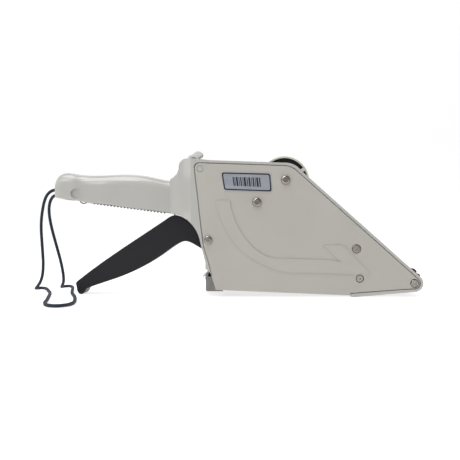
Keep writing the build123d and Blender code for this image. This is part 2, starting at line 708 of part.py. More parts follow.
with BuildPart() as lever:
    with BuildSketch(Plane.XZ):
        with BuildLine():
            top = Spline((-141.9, 12.2), (-129.0, 22.2), (-107.3, 37.6), (-85.5, 52.1),
                         (-63.8, 66.5))
            corner = Spline((-63.8, 66.5), (-58.0, 70.4), (-53.0, 71.6), (-47.0, 69.4),
                            (-36.0, 61.6), (-27.0, 58.8), tangents=(top % 1, (1, -0.25)))
            root = ThreePointArc((-27.0, 58.8),
                                 (pivot_x + lever_lug_radius, pivot_z), (-28.4, 40.5))
            throat = Spline((-28.4, 40.5), (-36.7, 45.3), (-44.5, 48.0), (-51.5, 45.6),
                            (-58.4, 41.0))
            low = Spline((-58.4, 41.0), (-80.1, 26.7), (-101.8, 16.4), (-123.5, 9.0),
                         (-133.4, 5.4))
            heel = Spline((-133.4, 5.4), (-136.0, 1.6), (-139.2, 0.0), (-142.4, 3.4),
                          (-143.3, 8.2), (-141.9, 12.2), tangents=(low % 1, top % 0))
        make_face()
    extrude(amount=lever_half_width, both=True)
    # Groove over the corner that the return spring passes through
    with BuildSketch(Plane.XZ):
        with BuildLine():
            Polyline((-82.0, 60.0), (-50.0, 82.0), (-40.0, 72.0), (-46.0, 63.0), (-52.0, 61.2),
                     (-60.0, 58.5), (-76.0, 51.8), close=True)
        make_face()
    extrude(amount=groove_half_width, both=True, mode=Mode.SUBTRACT)
    cross_cylinder(pivot_x, pivot_z, lever_shaft_radius, -20, 20, Mode.SUBTRACT)
    cross_cylinder(lever_pin_x, lever_pin_z, 1.2, -9.0, 9.0, Mode.SUBTRACT)
write_piece(lever, "lever")

with BuildPart() as lever_hook_pin:
    cross_cylinder(lever_pin_x, lever_pin_z, 1.2, -9.0, 9.0)
write_piece(lever_hook_pin, "lever_hook_pin")
tapped_shaft("lever_shaft", pivot_x, pivot_z, lever_shaft_radius, 37.7)
screw_pair("lever_screws", pivot_x, pivot_z, (half_width + 0.1, 3.6, 1.8),
           (recess_seat + 0.1, 3.6, 1.0), 8.0)

# Return spring ------------------------------------------------------------------------------
spring_length = spring_pitch * spring_turns
spring_angle = radians(handle_edge_slope)
spring_rear = (spring_rear_x, 0, on_slope(spring_rear_x, 3.1))
spring_direction = (cos(spring_angle), 0, -sin(spring_angle))
spring_front_x = spring_rear_x + spring_length * cos(spring_angle)
spring_front_z = spring_rear[2] - spring_length * sin(spring_angle)
rear_loop_x, rear_loop_z, rear_loop_radius = -138.6, 86.3, 3.75
spring_post_x, spring_post_z, spring_post_radius = -140.2, 86.8, 1.5

with BuildPart() as return_spring:
    with BuildLine() as coil_line:
        Helix(spring_pitch, spring_length, spring_radius, center=spring_rear,
              direction=spring_direction)
    with BuildSketch(Plane(origin=coil_line.line @ 0, z_dir=coil_line.line % 0)):
        Circle(spring_wire / 2)
    sweep(path=coil_line.line)
    # Hooks: a loop round the rear post and a bent end over the lever's pin
    with Locations(Location((rear_loop_x, 0, rear_loop_z), (90, 0, 0))):
        Torus(rear_loop_radius, spring_wire / 2)
    with BuildLine() as rear_link:
        FilletPolyline((rear_loop_x + rear_loop_radius, 0, rear_loop_z),
                       (spring_rear_x - 1.6, 0, spring_rear[2]), coil_line.line @ 0, radius=0.7)
    with BuildSketch(Plane(origin=rear_link.line @ 0, z_dir=rear_link.line % 0)):
        Circle(spring_wire / 2)
    sweep(path=rear_link.line)
    with BuildLine() as front_link:
        FilletPolyline(coil_line.line @ 1, (spring_front_x + 1.6, 0, spring_front_z),
                       (lever_pin_x - 0.4, 0, lever_pin_z + 4.5),
                       (lever_pin_x + 2.3, 0, lever_pin_z + 1.2),
                       (lever_pin_x + 1.9, 0, lever_pin_z - 1.9),
                       (lever_pin_x - 1.0, 0, lever_pin_z - 2.4),
                       radius=0.7)
    with BuildSketch(Plane(origin=front_link.line @ 0, z_dir=front_link.line % 0)):
        Circle(spring_wire / 2)
    sweep(path=front_link.line)
write_piece(return_spring, "return_spring")

with BuildPart() as spring_post:
    post_half = handle_half_width - handle_wall
    cross_cylinder(spring_post_x, spring_post_z, spring_post_radius, -post_half, post_half)
write_piece(spring_post, "spring_post")

# Handle screw, which goes in from the far side
with BuildPart() as handle_screw:
    screw_seat = handle_half_width - screw_recess_depth
    add_pan_screw(handle_screw_x, handle_screw_z, 1, screw_seat, 3.5, 1.6,
                  screw_seat - screw_reach, 1.75)
write_piece(handle_screw, "handle_screw")

# Pinch gate: an angle bracket with two ears, hinged at its front end --------------------------
gate_half_width = 29.0
ear_thickness = 1.5
plate_thickness = 2.0
gate_rear_x, gate_low_z, gate_high_z = -25.4, 4.2, 19.0
gate_foot_x = -10.4
gate_pin_radius = 1.5
pinch_radius = 5.0
pinch_shaft_radius = 1.5
pinch_reach = 12.0 + pinch_radius + 0.05
pinch_angle = radians(-132)
pinch_x = feed_x + pinch_reach * cos(pinch_angle)
pinch_z = feed_z + pinch_reach * sin(pinch_angle)

with BuildPart() as gate_bracket:
    with BuildSketch(Plane.XZ):
        with BuildLine():
            Polyline((gate_rear_x, gate_high_z), (gate_rear_x, gate_low_z),
                     (gate_foot_x, gate_low_z), (gate_foot_x, gate_low_z + plate_thickness),
                     (gate_rear_x + plate_thickness, gate_low_z + plate_thickness),
                     (gate_rear_x + plate_thickness, gate_high_z), close=True)
        make_face()
    extrude(amount=gate_half_width, both=True)
    for side in (-1, 1):
        with BuildSketch(side_plane(side * gate_half_width)):
            with BuildLine():
                Polyline((gate_rear_x + 1.0, gate_low_z + 1.0),
                         (gate_foot_x, gate_low_z + 1.0), (gate_x, gate_z - 3.0),
                         (gate_x + 2.4, gate_z), (gate_x, gate_z + 3.0), (pinch_x + 3.0, 17.0),
                         (gate_rear_x + 1.0, 17.0), close=True)
            make_face()
        extrude(amount=side * ear_thickness)
    cross_cylinder(gate_x, gate_z, gate_pin_radius + running_fit, -35, 35, Mode.SUBTRACT)
    cross_cylinder(pinch_x, pinch_z, pinch_shaft_radius, -35, 35, Mode.SUBTRACT)
    bend_edges = gate_bracket.edges().filter_by(Axis.Y).filter_by(
        lambda edge: abs(edge.center().X - gate_rear_x) < 0.1
        and abs(edge.center().Z - gate_low_z) < 0.1)
    fillet(bend_edges, radius=1.6)
write_piece(gate_bracket, "gate_bracket")

with BuildPart() as gate_pin:
    cross_cylinder(gate_x, gate_z, gate_pin_radius, -36.5, 36.5)
write_piece(gate_pin, "gate_pin")
with BuildPart() as pinch_shaft:
    cross_cylinder(pinch_x, pinch_z, pinch_shaft_radius, -gate_half_width, gate_half_width)
write_piece(pinch_shaft, "pinch_shaft")
tube("pinch_roller", pinch_x, pinch_z, pinch_radius, pinch_shaft_radius + running_fit,
     -26.5, 26.5)

with BuildPart() as tear_blade:
    with BuildSketch(Plane.XZ):
        with BuildLine():
            Polyline((gate_rear_x, 19.0), (gate_rear_x, 14.5), (gate_rear_x - 0.5, 14.5),
                     (gate_rear_x - 0.5, 18.0), (-28.3, 16.4), (-28.5, 16.8),
                     (gate_rear_x - 0.3, 19.0), close=True)
        make_face()
    extrude(amount=28.0, both=True)
    with BuildSketch(Plane.XY.offset(15.5)):
        with Locations(*[(-28.6, -27.0 + 1.5 * step) for step in range(37)]):
            Rectangle(1.0, 1.0, rotation=45)
    extrude(amount=3.0, mode=Mode.SUBTRACT)
write_piece(tear_blade, "tear_blade")

with BuildPart() as gate_spring:
    with BuildLine() as gate_coil:
        Helix(0.95, 5.7, 2.1, center=(gate_x, 23.0, gate_z), direction=(0, -1, 0))
    with BuildSketch(Plane(origin=gate_coil.line @ 0, z_dir=gate_coil.line % 0)):
        Circle(0.4)
    sweep(path=gate_coil.line)
write_piece(gate_spring, "gate_spring")

# Web path -----------------------------------------------------------------------------------
with BuildPart() as web_chute:
    with BuildSketch(Plane.XZ):
        with BuildLine() as chute_path:
            fall = Spline((-5.0, 64.0), (2.5, 49.0), (17.0, 35.0), (38.0, 23.6), (62.0, 16.0),
                          (88.0, 10.6), tangents=((0.25, -1), (1, -0.064)))
            run = Line((88.0, 10.6), (137.8, 7.4))
        trace(line_width=1.2)
    extrude(amount=web_half_width, both=True)
write_piece(web_chute, "web_chute")

with BuildPart() as peel_plate:
    with BuildSketch(Plane.XZ):
        with BuildLine():
            Polyline((138.4, 6.2), (138.4, 8.2), (149.9, 7.2), (150.3, 6.7), (149.7, 6.4),
                     close=True)
        make_face()
    extrude(amount=web_half_width, both=True)
write_piece(peel_plate, "peel_plate")

# Rubber lip with two ridges along the slanted edge above the press rollers
with BuildPart() as label_lip:
    with BuildSketch(Plane.XZ):
        with BuildLine():
            Polyline((146.0, 25.4), (146.0, slant_z(146.0) + 0.3), (153.6, slant_z(153.6) + 0.5),
                     (155.3, 24.3), (157.6, 24.2), (159.6, 22.2), (159.3, 19.9),
                     (160.0, 20.3), (162.3, 19.2), (162.6, 17.6), (161.0, 17.4),
                     (158.2, 19.0), (152.0, 20.4), close=True)
        make_face()
    extrude(amount=web_half_width, both=True)
write_piece(label_lip, "label_lip")

# Width guides: two sliding cheeks on the chute
with BuildPart() as edge_guides:
    for side in (-1, 1):
        with BuildSketch(side_plane(side * 30.7)):
            with BuildLine():
                Polyline((66.0, 17.4), (92.0, 11.6), (100.0, 11.0), (100.0, 20.5), (92.0, 22.4),
                         (66.0, 28.2), close=True)
            make_face()
        extrude(amount=side * 1.2)
write_piece(edge_guides, "edge_guides")

# Feed-stop knob, its pin and the rod that it pushes
with BuildPart() as stop_knob:
    with BuildSketch(Plane.XZ):
        with BuildLine():
            back = Spline((-36.0, 121.4), (-40.8, 121.3), (-43.0, 123.4), (-41.6, 126.2),
                          (-38.4, 127.6), (-35.2, 130.0), (-31.6, 129.9), (-28.8, 127.6),
                          (-29.6, 125.4))
            under = Line((-29.6, 125.4), (-36.0, 121.4))
        make_face()
    extrude(amount=knob_half_width, both=True)
    cross_cylinder(knob_x, knob_z, knob_pin_radius + running_fit, -9, 9, Mode.SUBTRACT)
write_piece(stop_knob, "stop_knob")
with BuildPart() as knob_pin:
    cross_cylinder(knob_x, knob_z, knob_pin_radius, -8.1, 8.1)
write_piece(knob_pin, "knob_pin")
stop_rod_low, stop_rod_high = 96.0, 122.0
with BuildPart() as stop_rod:
    with BuildSketch(Plane.XY.offset(stop_rod_low)):
        with Locations((stop_rod_x, 0)):
            Circle(stop_rod_radius)
    extrude(amount=stop_rod_high - stop_rod_low)
    with BuildSketch(Plane.XY.offset(stop_rod_low)):
        with Locations((stop_rod_x, 0)):
            Circle(3.0)
    extrude(amount=2.0)
write_piece(stop_rod, "stop_rod")

# Wrist cord: out of the handle's upper hole, down to the table, round and back up ------------
cord_radius = 1.5
cord_start = (-158.4, 0, cord_upper_z)
cord_end = (-158.4, 0, cord_lower_z)
cord_route = [
    cord_start,
    (-166.5, 0.0, cord_upper_z),
    (-173.3, 1.0, 90.8),
    (-177.0, 2.5, 80.5),
    (-179.6, 4.5, 63.5),
    (-178.9, 7.0, 43.0),
    (-178.3, 9.5, 25.0),
    (-180.6, 12.5, 11.5),
    (-187.2, 18.0, 3.4),
    (-190.8, 28.0, 2.0),
    (-186.0, 36.0, 2.0),
    (-179.8, 27.0, 1.9),
    (-173.5, 8.0, 1.7),
    (-164.8, -18.0, 1.7),
    (-158.2, -50.0, 1.7),
    (-151.8, -80.0, 1.7),
    (-147.8, -104.0, 1.7),
    (-141.5, -122.0, 1.7),
    (-130.5, -127.0, 1.7),
    (-124.3, -113.0, 1.7),
    (-127.2, -89.0, 1.7),
    (-135.5, -52.0, 1.7),
    (-145.0, -21.0, 1.7),
    (-151.5, 10.0, 2.0),
    (-156.5, 36.0, 2.6),
    (-163.0, 50.0, 2.8),
    (-169.3, 45.0, 2.4),
    (-167.2, 33.0, 3.0),
    (-161.9, 22.0, 9.8),
    (-162.6, 15.0, 25.5),
    (-166.4, 9.0, 44.5),
    (-170.2, 5.0, 62.0),
    (-171.8, 2.5, 76.0),
    (-170.0, 1.0, 85.5),
    (-165.5, 0.0, cord_lower_z),
    cord_end,
]


def corner_radii(route):
    """Largest bend radius at each inner point: 0.45 of the shorter run over the half turn."""
    radii = []
    for before, here, after in zip(route, route[1:], route[2:]):
        run_in = Vector(*here) - Vector(*before)
        run_out = Vector(*after) - Vector(*here)
        turn = radians(run_in.get_angle(run_out))
        shorter = min(run_in.length, run_out.length)
        radii.append(0.45 * shorter / tan(turn / 2))
    return radii


cord_radii = corner_radii(cord_route)
with BuildPart() as wrist_cord:
    with BuildLine() as cord_path:
        FilletPolyline(*cord_route, radius=cord_radii)
    with BuildSketch(Plane(origin=cord_path.line @ 0, z_dir=cord_path.line % 0)):
        Circle(cord_radius)
    sweep(path=cord_path.line)
write_piece(wrist_cord, "wrist_cord")
cord_length = sum(edge.length for edge in cord_path.edges())
print("cord bend radii", [round(radius, 1) for radius in cord_radii])
print("cord length", round(cord_length, 1), "volume ratio",
      round(wrist_cord.part.volume / (pi * cord_radius ** 2 * cord_length), 4))

# Knot inside the handle that keeps both ends of the cord
with BuildPart() as cord_knot:
    with BuildSketch(Plane.YZ.offset(cord_start[0])):
        with Locations((0, (cord_upper_z + cord_lower_z) / 2)):
            SlotCenterToCenter(4.7, 7.6, rotation=90)
    extrude(amount=6.5)
    fillet(cord_knot.edges().sort_by(Axis.X)[-2:], radius=2.0)
write_piece(cord_knot, "cord_knot")
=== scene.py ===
import json
from math import cos, hypot, pi, radians, sin

import bmesh
import bpy
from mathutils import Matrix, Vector


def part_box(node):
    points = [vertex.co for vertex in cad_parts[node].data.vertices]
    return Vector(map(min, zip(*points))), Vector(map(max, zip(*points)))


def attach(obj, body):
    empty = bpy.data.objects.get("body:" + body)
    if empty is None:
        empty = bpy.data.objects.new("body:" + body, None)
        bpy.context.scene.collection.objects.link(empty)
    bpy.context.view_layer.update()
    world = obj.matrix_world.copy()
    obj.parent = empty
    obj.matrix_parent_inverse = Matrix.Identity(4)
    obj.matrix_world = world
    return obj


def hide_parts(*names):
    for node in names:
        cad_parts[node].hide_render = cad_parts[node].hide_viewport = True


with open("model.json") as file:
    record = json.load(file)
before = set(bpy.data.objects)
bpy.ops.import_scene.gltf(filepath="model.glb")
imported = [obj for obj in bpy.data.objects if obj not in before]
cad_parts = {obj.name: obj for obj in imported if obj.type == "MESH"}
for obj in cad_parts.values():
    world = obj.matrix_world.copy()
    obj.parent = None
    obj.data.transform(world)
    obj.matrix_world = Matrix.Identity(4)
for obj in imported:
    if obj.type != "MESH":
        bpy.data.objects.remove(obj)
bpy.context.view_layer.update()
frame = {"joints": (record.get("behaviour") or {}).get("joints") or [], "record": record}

MM = 0.001

# Camera: level, square to the near side -------------------------------------------------------
CAMERA_X = -0.0041
CAMERA_Z = 0.0581
CAMERA_DISTANCE = 0.650
SENSOR_WIDTH = 36.0         # millimetres, as is the lens
CAMERA_LENS = 55.24

camera_data = bpy.data.cameras.new("camera")
camera_data.lens = CAMERA_LENS
camera_data.sensor_width = SENSOR_WIDTH
camera = bpy.data.objects.new("camera", camera_data)
camera.location = (CAMERA_X, -CAMERA_DISTANCE, CAMERA_Z)
camera.rotation_euler = (radians(90), 0.0, 0.0)
bpy.context.collection.objects.link(camera)
bpy.context.scene.camera = camera
bpy.context.scene.view_settings.view_transform = "Standard"


def link(obj):
    """Put a new object in the scene and return it."""
    bpy.context.collection.objects.link(obj)
    return obj


# Materials ------------------------------------------------------------------------------------
# Noise scales, in waves per metre
FLOW_CLOUDS = 22
RUB_MARKS = 60
MOULD_GRAIN = 1500
BRUSH_LINES = 900
DULL_PATCHES = 120
RUBBER_WEAR = 160
RUBBER_GLOSS = 300
RUBBER_PITS = 2200
NYLON_CLOUDS = 240
NYLON_GLOSS = 500
NYLON_GRAIN = 900
CORD_FIBRES = 2600
FELT_FIBRES = 1800
FLOOR_HAZE = 3.0

# Bump depths, in metres
BRUSH_DEPTH = 0.000004
PIT_DEPTH = 0.00003
NYLON_DEPTH = 0.00002
FIBRE_DEPTH = 0.00012

# Roughness of the materials that share one value, and the scattering depth of nylon
RUBBER_ROUGHNESS = 0.7
NYLON_ROUGHNESS = 0.38
FIBRE_ROUGHNESS = 0.8
NYLON_SCATTER = 0.002


def new_material(name, colour, roughness, metallic=0.0):
    """Material with a Principled shader; returns it with its tree, shader and coordinates."""
    material = bpy.data.materials.new(name)
    material.use_nodes = True
    tree = material.node_tree
    shader = tree.nodes["Principled BSDF"]
    shader.inputs["Base Color"].default_value = (*colour, 1.0)
    shader.inputs["Roughness"].default_value = roughness
    shader.inputs["Metallic"].default_value = metallic
    coordinates = tree.nodes.new("ShaderNodeTexCoord")
    return material, tree, shader, coordinates


def scaled(tree, coordinates, scale):
    """Object coordinates times a scale for each axis."""
    mapping = tree.nodes.new("ShaderNodeMapping")
    mapping.inputs["Scale"].default_value = scale
    tree.links.new(coordinates.outputs["Object"], mapping.inputs["Vector"])
    return mapping.outputs["Vector"]


def noise(tree, vector, scale, detail=4.0, distortion=0.0):
    """Noise texture's value at a scale in waves per metre."""
    node = tree.nodes.new("ShaderNodeTexNoise")
    node.inputs["Scale"].default_value = scale
    node.inputs["Detail"].default_value = detail
    node.inputs["Distortion"].default_value = distortion
    tree.links.new(vector, node.inputs["Vector"])
    return node.outputs["Fac"]


def spread(tree, value, low, high):
    """Map the middle of a noise's values, 0.3 to 0.7, to the range from low to high."""
    node = tree.nodes.new("ShaderNodeMapRange")
    node.inputs["From Min"].default_value = 0.3
    node.inputs["From Max"].default_value = 0.7
    node.inputs["To Min"].default_value = low
    node.inputs["To Max"].default_value = high
    tree.links.new(value, node.inputs["Value"])
    return node.outputs["Result"]


def tinted(tree, value, first, second):
    """Colour that runs from first to second with a value from 0 to 1."""
    node = tree.nodes.new("ShaderNodeMix")
    node.data_type = "RGBA"
    node.inputs["A"].default_value = (*first, 1.0)
    node.inputs["B"].default_value = (*second, 1.0)
    tree.links.new(value, node.inputs["Factor"])
    return node.outputs["Result"]


def bumped(tree, shader, value, distance):
    """Bump the shader's normal by a value over a distance in metres."""
    node = tree.nodes.new("ShaderNodeBump")
    node.inputs["Strength"].default_value = 1.0
    node.inputs["Distance"].default_value = distance
    tree.links.new(value, node.inputs["Height"])
    tree.links.new(node.outputs["Normal"], shader.inputs["Normal"])


def moulded(name, colour, roughness, grain, coat=0.0, dust=0.06, specular=0.5):
    """Moulded plastic: spark-eroded grain, faint flow clouding and rub marks."""
    material, tree, shader, coordinates = new_material(name, colour, roughness)
    even = scaled(tree, coordinates, (1, 1, 1))
    cloud = noise(tree, even, FLOW_CLOUDS, 3)
    darker = tuple(channel * (1 - dust) for channel in colour)
    lighter = tuple(min(1.0, channel * (1 + dust * 0.5)) for channel in colour)
    tree.links.new(tinted(tree, spread(tree, cloud, 0, 1), darker, lighter),
                   shader.inputs["Base Color"])
    rub = noise(tree, even, RUB_MARKS, 5, 0.4)
    tree.links.new(spread(tree, rub, roughness - 0.02, roughness + 0.03),
                   shader.inputs["Roughness"])
    bumped(tree, shader, noise(tree, even, MOULD_GRAIN, 2), grain)
    shader.inputs["Coat Weight"].default_value = coat
    shader.inputs["Specular IOR Level"].default_value = specular
    shader.inputs["Coat Roughness"].default_value = 0.10
    return material


def metal(name, colour, roughness, brush=(1, 1, 1), stain=0.12):
    """Bare metal with dull patches, brushed along the axis whose scale in brush is smallest."""
    material, tree, shader, coordinates = new_material(name, colour, roughness, 1.0)
    lines = noise(tree, scaled(tree, coordinates, brush), BRUSH_LINES, 5)
    patches = noise(tree, scaled(tree, coordinates, (1, 1, 1)), DULL_PATCHES, 5)
    dull = tuple(channel * (1 - stain) for channel in colour)
    tree.links.new(tinted(tree, spread(tree, patches, 0, 1), dull, colour),
                   shader.inputs["Base Color"])
    tree.links.new(spread(tree, lines, roughness - 0.08, roughness + 0.1),
                   shader.inputs["Roughness"])
    bumped(tree, shader, lines, BRUSH_DEPTH)
    return material


def rubbery(name, colour):
    """Rubber: matt, finely pitted, with paler rubbed patches."""
    material, tree, shader, coordinates = new_material(name, colour, RUBBER_ROUGHNESS)
    even = scaled(tree, coordinates, (1, 1, 1))
    pale = tuple(channel * 1.6 + 0.003 for channel in colour)
    wear = noise(tree, even, RUBBER_WEAR, 5)
    tree.links.new(tinted(tree, spread(tree, wear, 0, 1), colour, pale),
                   shader.inputs["Base Color"])
    gloss = noise(tree, even, RUBBER_GLOSS, 4)
    tree.links.new(spread(tree, gloss, RUBBER_ROUGHNESS - 0.08, RUBBER_ROUGHNESS + 0.1),
                   shader.inputs["Roughness"])
    bumped(tree, shader, noise(tree, even, RUBBER_PITS, 3), PIT_DEPTH)
    shader.inputs["Specular IOR Level"].default_value = 0.35
    return material


def milky(name, colour):
    """Milky nylon: a little light passes in, with soft roughness patches."""
    material, tree, shader, coordinates = new_material(name, colour, NYLON_ROUGHNESS)
    even = scaled(tree, coordinates, (1, 1, 1))
    cool = tuple(channel * 0.93 for channel in colour)
    cloud = noise(tree, even, NYLON_CLOUDS, 4)
    tree.links.new(tinted(tree, spread(tree, cloud, 0, 1), cool, colour),
                   shader.inputs["Base Color"])
    tree.links.new(spread(tree, noise(tree, even, NYLON_GLOSS, 3), 0.3, 0.46),
                   shader.inputs["Roughness"])
    bumped(tree, shader, noise(tree, even, NYLON_GRAIN, 3), NYLON_DEPTH)
    shader.inputs["Subsurface Weight"].default_value = 0.25
    shader.inputs["Subsurface Radius"].default_value = (NYLON_SCATTER,) * 3
    return material


def fibrous(name, colour, light, scale, sheen):
    """Twisted fibre: fine strands with paler tips and a soft sheen."""
    material, tree, shader, coordinates = new_material(name, colour, FIBRE_ROUGHNESS)
    even = scaled(tree, coordinates, (1, 1, 1))
    fibres = noise(tree, even, scale, 6, 1.2)
    tree.links.new(tinted(tree, spread(tree, fibres, 0, 1), colour, light),
                   shader.inputs["Base Color"])
    tree.links.new(spread(tree, fibres, 0.68, 0.9), shader.inputs["Roughness"])
    bumped(tree, shader, fibres, FIBRE_DEPTH)
    shader.inputs["Sheen Weight"].default_value = sheen
    shader.inputs["Sheen Roughness"].default_value = 0.5
    return material


BODY_COLOUR = (0.435, 0.420, 0.380)
HANDLE_COLOUR = (0.445, 0.440, 0.415)
MATERIALS = {
    "housing": moulded("housing", HANDLE_COLOUR, 0.30, 0.000004, coat=0.35, dust=0.03),
    "side_cover": moulded("side_cover", BODY_COLOUR, 0.46, 0.000012, dust=0.035),
    "cream": moulded("cream", (0.66, 0.64, 0.55), 0.4, 0.000008),
    "black_plastic": moulded("black_plastic", (0.0075, 0.0070, 0.0100), 0.40, 0.000010, dust=0.2,
                             specular=0.35),
    "ink": moulded("ink", (0.010, 0.013, 0.026), 0.45, 0.000004, dust=0.25),
    "acetal": moulded("acetal", (0.72, 0.70, 0.64), 0.32, 0.000004),
    "nylon": milky("nylon", (0.83, 0.83, 0.82)),
    "nickel": metal("nickel", (0.40, 0.36, 0.34), 0.28, stain=0.3),
    "steel": metal("steel", (0.42, 0.41, 0.40), 0.3, (1, 0.02, 1)),
    "zinc_sheet": metal("zinc_sheet", (0.26, 0.25, 0.24), 0.42, (1, 0.05, 1), stain=0.25),
    "spring_steel": metal("spring_steel", (0.13, 0.12, 0.12), 0.38, stain=0.3),
    "brass": metal("brass", (0.58, 0.42, 0.20), 0.38),
    "plate": metal("plate", (0.46, 0.49, 0.55), 0.42, (0.02, 1, 1)),
    "rubber": rubbery("rubber", (0.007, 0.007, 0.008)),
    "felt": fibrous("felt", (0.20, 0.19, 0.18), (0.34, 0.33, 0.31), FELT_FIBRES, 0.6),
    "cord": fibrous("cord", (0.0035, 0.0075, 0.018), (0.012, 0.022, 0.040), CORD_FIBRES, 0.1),
}
slot_of = {row["node"]: row["material_slot"] for row in frame["record"]["subparts"]}
for node, slot in slot_of.items():
    skin = bpy.data.objects[node].data
    skin.materials.clear()
    skin.materials.append(MATERIALS[slot])

# Wrist cord: four plies twisted round one smooth route ----------------------------------------
CORD_DIAMETER = 0.0030
PLY_SHARE = 0.32            # radius of a ply over the diameter of the cord
CORD_ROUTE_MM = [
    (-158.4, 0.0, 95.6), (-166.5, 0.0, 95.6), (-173.3, 1.0, 90.8), (-177.0, 2.5, 80.5),
    (-179.6, 4.5, 63.5), (-178.9, 7.0, 43.0), (-178.3, 9.5, 25.0), (-180.6, 12.5, 11.5),
    (-187.2, 18.0, 3.4), (-190.8, 28.0, 2.0), (-186.0, 36.0, 2.0), (-179.8, 27.0, 1.9),
    (-173.5, 8.0, 1.7), (-164.8, -18.0, 1.7), (-158.2, -50.0, 1.7), (-151.8, -80.0, 1.7),
    (-147.8, -104.0, 1.7), (-141.5, -122.0, 1.7), (-130.5, -127.0, 1.7), (-124.3, -113.0, 1.7),
    (-127.2, -89.0, 1.7), (-135.5, -52.0, 1.7), (-145.0, -21.0, 1.7), (-151.5, 10.0, 2.0),
    (-156.5, 36.0, 2.6), (-163.0, 50.0, 2.8), (-169.3, 45.0, 2.4), (-167.2, 33.0, 3.0),
    (-161.9, 22.0, 9.8), (-162.6, 15.0, 25.5), (-166.4, 9.0, 44.5), (-170.2, 5.0, 62.0),
    (-171.8, 2.5, 76.0), (-170.0, 1.0, 85.5), (-165.5, 0.0, 90.9), (-158.4, 0.0, 90.9),
]
CORD_STEP = 0.0009          # between two rings of a ply
PLY_COUNT = 4
PLY_TURN_LENGTH = 0.0075    # one full turn of a ply
PLY_SIDES = 8
ROUTE_RESOLUTION = 24       # points for each span of the spline


def smooth_route(points):
    """Points along the NURBS spline that has the route as its control points."""
    curve = bpy.data.curves.new("cord_route", "CURVE")
    curve.dimensions = "3D"
    curve.resolution_u = ROUTE_RESOLUTION
    spline = curve.splines.new("NURBS")
    spline.points.add(len(points) - 1)
    for point, place in zip(spline.points, points):
        point.co = (*[value * MM for value in place], 1.0)
    spline.order_u = 3
    spline.use_endpoint_u = True
    holder = bpy.data.objects.new("cord_route", curve)
    mesh = bpy.data.meshes.new_from_object(holder)
    route = [vertex.co.copy() for vertex in mesh.vertices]
    bpy.data.objects.remove(holder)
    bpy.data.curves.remove(curve)
    bpy.data.meshes.remove(mesh)
    return route


def even_points(route, step):
    """Points about a step apart along a dense polyline, ends included, and its length."""
    lengths = [0.0]
    for first, second in zip(route, route[1:]):
        lengths.append(lengths[-1] + (second - first).length)
    count = max(2, round(lengths[-1] / step))
    points = []
    segment = 0
    for index in range(count + 1):
        reach = lengths[-1] * index / count
        while segment < len(route) - 2 and lengths[segment + 1] < reach:
            segment += 1
        span = lengths[segment + 1] - lengths[segment]
        share = 0.0 if span == 0 else (reach - lengths[segment]) / span
        points.append(route[segment].lerp(route[segment + 1], min(1.0, share)))
    return points, lengths[-1]


def carried_frames(points):
    """Along, side and up vectors that follow the points without twisting about them."""
    frames = []
    side = None
    for index in range(len(points)):
        before = points[max(0, index - 1)]
        after = points[min(len(points) - 1, index + 1)]
        along = (after - before).normalized()
        if side is None:
            side = along.cross(Vector((0, 0, 1)))
            if side.length < 0.1:
                side = along.cross(Vector((0, 1, 0)))
        side = (side - along * side.dot(along)).normalized()
        frames.append((along, side, along.cross(side)))
    return frames


def twisted_cord(name, points, diameter, material):
    """Mesh of PLY_COUNT plies that twist round each other along the points."""
    frames = carried_frames(points)
    step = (points[1] - points[0]).length
    ply_radius = diameter * PLY_SHARE
    ply_offset = diameter / 2 - ply_radius
    mesh = bmesh.new()
    for ply in range(PLY_COUNT):
        rings = []
        for index, (point, (_, side, up)) in enumerate(zip(points, frames)):
            turn = 2 * pi * (index * step / PLY_TURN_LENGTH + ply / PLY_COUNT)
            middle = point + (side * cos(turn) + up * sin(turn)) * ply_offset
            ring = []
            for corner in range(PLY_SIDES):
                angle = 2 * pi * corner / PLY_SIDES
                place = middle + (side * cos(angle) + up * sin(angle)) * ply_radius
                ring.append(mesh.verts.new(place))
            rings.append(ring)
        for first, second in zip(rings, rings[1:]):
            for corner in range(PLY_SIDES):
                follower = (corner + 1) % PLY_SIDES
                mesh.faces.new((first[corner], first[follower], second[follower],
                                second[corner]))
        mesh.faces.new(reversed(rings[0]))
        mesh.faces.new(rings[-1])
    bmesh.ops.recalc_face_normals(mesh, faces=mesh.faces)
    return finished_mesh(name, mesh, material)


def finished_mesh(name, mesh, material, smooth=True):
    """Turn a bmesh into a linked object with one material, smooth or faceted."""
    data = bpy.data.meshes.new(name)
    mesh.to_mesh(data)
    mesh.free()
    for face in data.polygons:
        face.use_smooth = smooth
    data.materials.append(material)
    return link(bpy.data.objects.new(name, data))


cord_route = smooth_route(CORD_ROUTE_MM)
cord_points, cord_length = even_points(cord_route, CORD_STEP)
rope = twisted_cord("wrist_cord_rope", cord_points, CORD_DIAMETER, MATERIALS["cord"])
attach(rope, "body")
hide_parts("wrist_cord")


# Lever and knob with their long edges rounded off ---------------------------------------------
WELD_DISTANCE = 0.000002
FLAT_ANGLE = radians(1.0)       # faces that meet at less than this are made one
SIDE_TOLERANCE = 0.00002        # how far an outline edge may be from the piece's side
SHARP_ANGLE = radians(40)       # an edge is rounded where its faces turn by more than this
BEVEL_SEGMENTS = 4
SIDE_NORMAL = 0.98              # a face turned to the side more squarely than this stays flat


